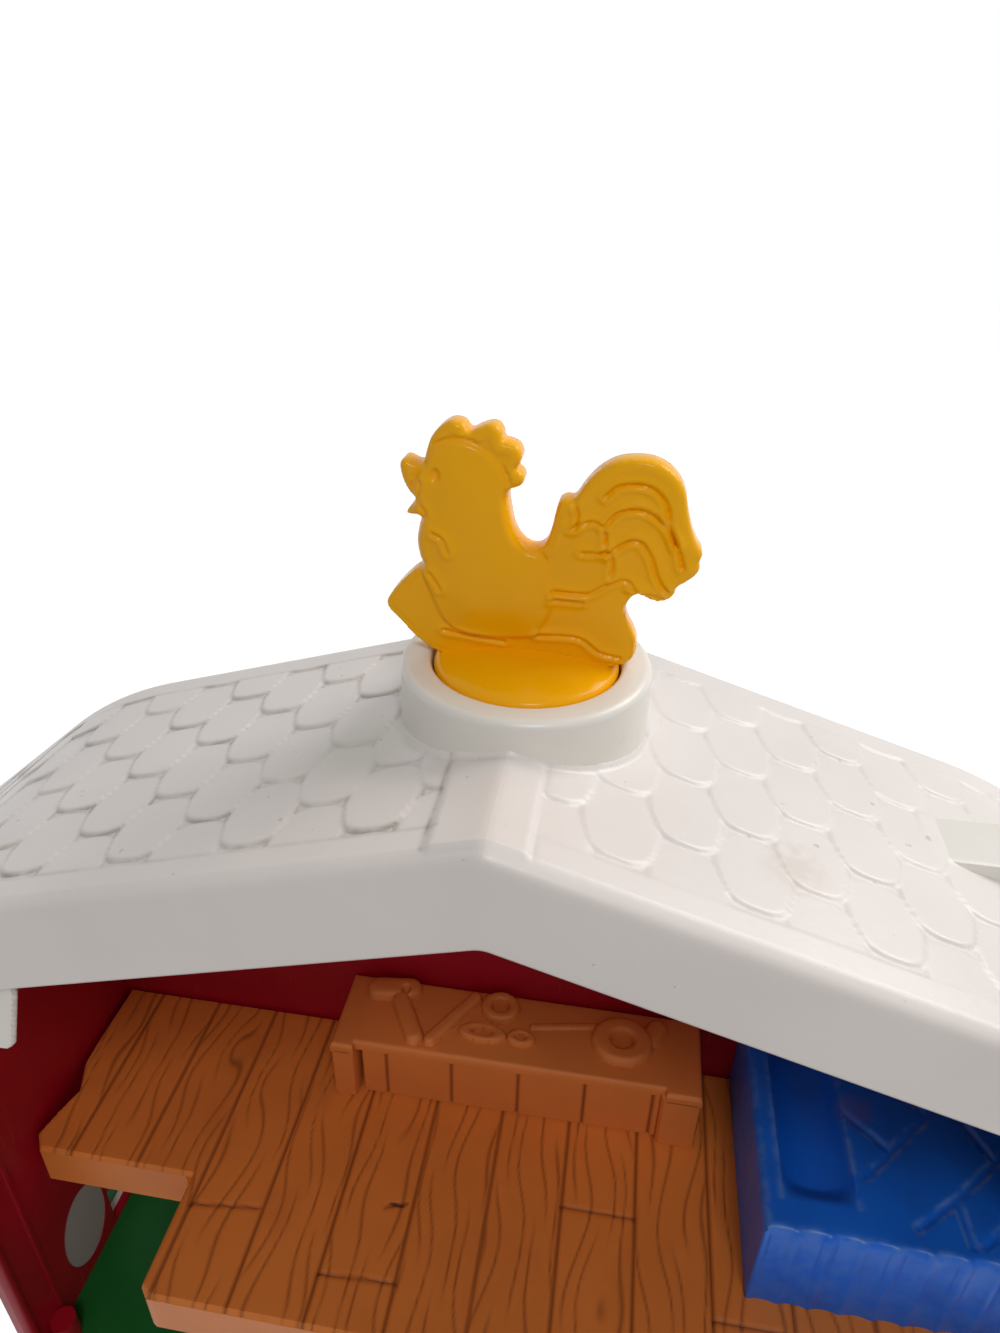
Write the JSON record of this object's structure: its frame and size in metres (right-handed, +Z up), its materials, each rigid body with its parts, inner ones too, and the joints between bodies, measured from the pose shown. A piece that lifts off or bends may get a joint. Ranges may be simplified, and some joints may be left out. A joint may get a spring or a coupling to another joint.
{
  "type": "toy barn",
  "caption": "Toy barn, open at the back, with a gambrel shingle roof, turning weather vane, loft, hinged barn doors, hatch shutters, stall gate and a silo with a hinged door.",
  "frame": {"origin": "on the table, at the centre pad of the base, below the middle of the barn", "axes": "+Z up, +Y towards the side with the barn doors, -Y the open side, +X towards the silo"},
  "size_m": [0.444, 0.1263, 0.363],
  "materials": {
    "roof_white": "moulded, softly worn",
    "trim_white": "moulded, satin gloss",
    "wall_red": "moulded, satin gloss",
    "loft_brown": "moulded wood grain",
    "bench_brown": "moulded wood grain",
    "gate_brown": "moulded wood grain",
    "deck_blue": "moulded, satin gloss",
    "base_green": "moulded, satin gloss",
    "shutter_green": "moulded, satin gloss",
    "vane_yellow": "moulded, satin gloss",
    "foot_rubber": "plain",
    "screw_steel": "plated"
  },
  "bodies": {
    "root": {"base_tray": "base_green", "base_feet": "foot_rubber", "base_screws": "screw_steel", "left_wall": "wall_red", "right_wall": "wall_red", "front_wall": "wall_red", "roof_shell": "roof_white", "loft_floor": "loft_brown", "workbench": "bench_brown", "stone_deck": "deck_blue", "door_surround": "trim_white", "hatch_surround": "trim_white", "stall_frame": "trim_white", "left_window_frame": "trim_white", "right_window_frame": "trim_white", "side_window_frame": "trim_white", "silo_shell": "deck_blue", "silo_cap": "roof_white"},
    "vane": {"rooster_vane": "vane_yellow", "vane_retainer": "trim_white", "vane_screw": "screw_steel"},
    "left_door": {"left_barn_door": "trim_white"},
    "right_door": {"right_barn_door": "trim_white"},
    "left_shutter": {"left_shutter": "shutter_green"},
    "right_shutter": {"right_shutter": "shutter_green"},
    "gate": {"stall_gate": "gate_brown"},
    "silo_hatch": {"silo_door": "vane_yellow"}
  },
  "joints": [
    {"name": "vane_spin", "type": "hinge", "parent": "root", "child": "vane", "pos_m": [0, 0.01, 0.287], "axis": [0, 0, 1], "continuous": true},
    {"name": "left_door_swing", "type": "hinge", "parent": "root", "child": "left_door", "pos_m": [-0.0504, 0.0563, 0.045], "axis": [0, 0, 1], "range_deg": [0, 110]},
    {"name": "right_door_swing", "type": "hinge", "parent": "root", "child": "right_door", "pos_m": [0.0504, 0.0563, 0.045], "axis": [0, 0, -1], "range_deg": [0, 110]},
    {"name": "left_shutter_swing", "type": "hinge", "parent": "root", "child": "left_shutter", "pos_m": [-0.0264, 0.0563, 0.181], "axis": [0, 0, 1], "range_deg": [0, 110]},
    {"name": "right_shutter_swing", "type": "hinge", "parent": "root", "child": "right_shutter", "pos_m": [0.0264, 0.0563, 0.181], "axis": [0, 0, -1], "range_deg": [0, 110]},
    {"name": "gate_swing", "type": "hinge", "parent": "root", "child": "gate", "pos_m": [-0.1738, 0.0379, 0.037], "axis": [0, 0, -1], "range_deg": [0, 100]},
    {"name": "silo_door_swing", "type": "hinge", "parent": "root", "child": "silo_hatch", "pos_m": [0.219, 0.04019, 0.045], "axis": [0, 0, -1], "range_deg": [0, 110]}
  ]
}
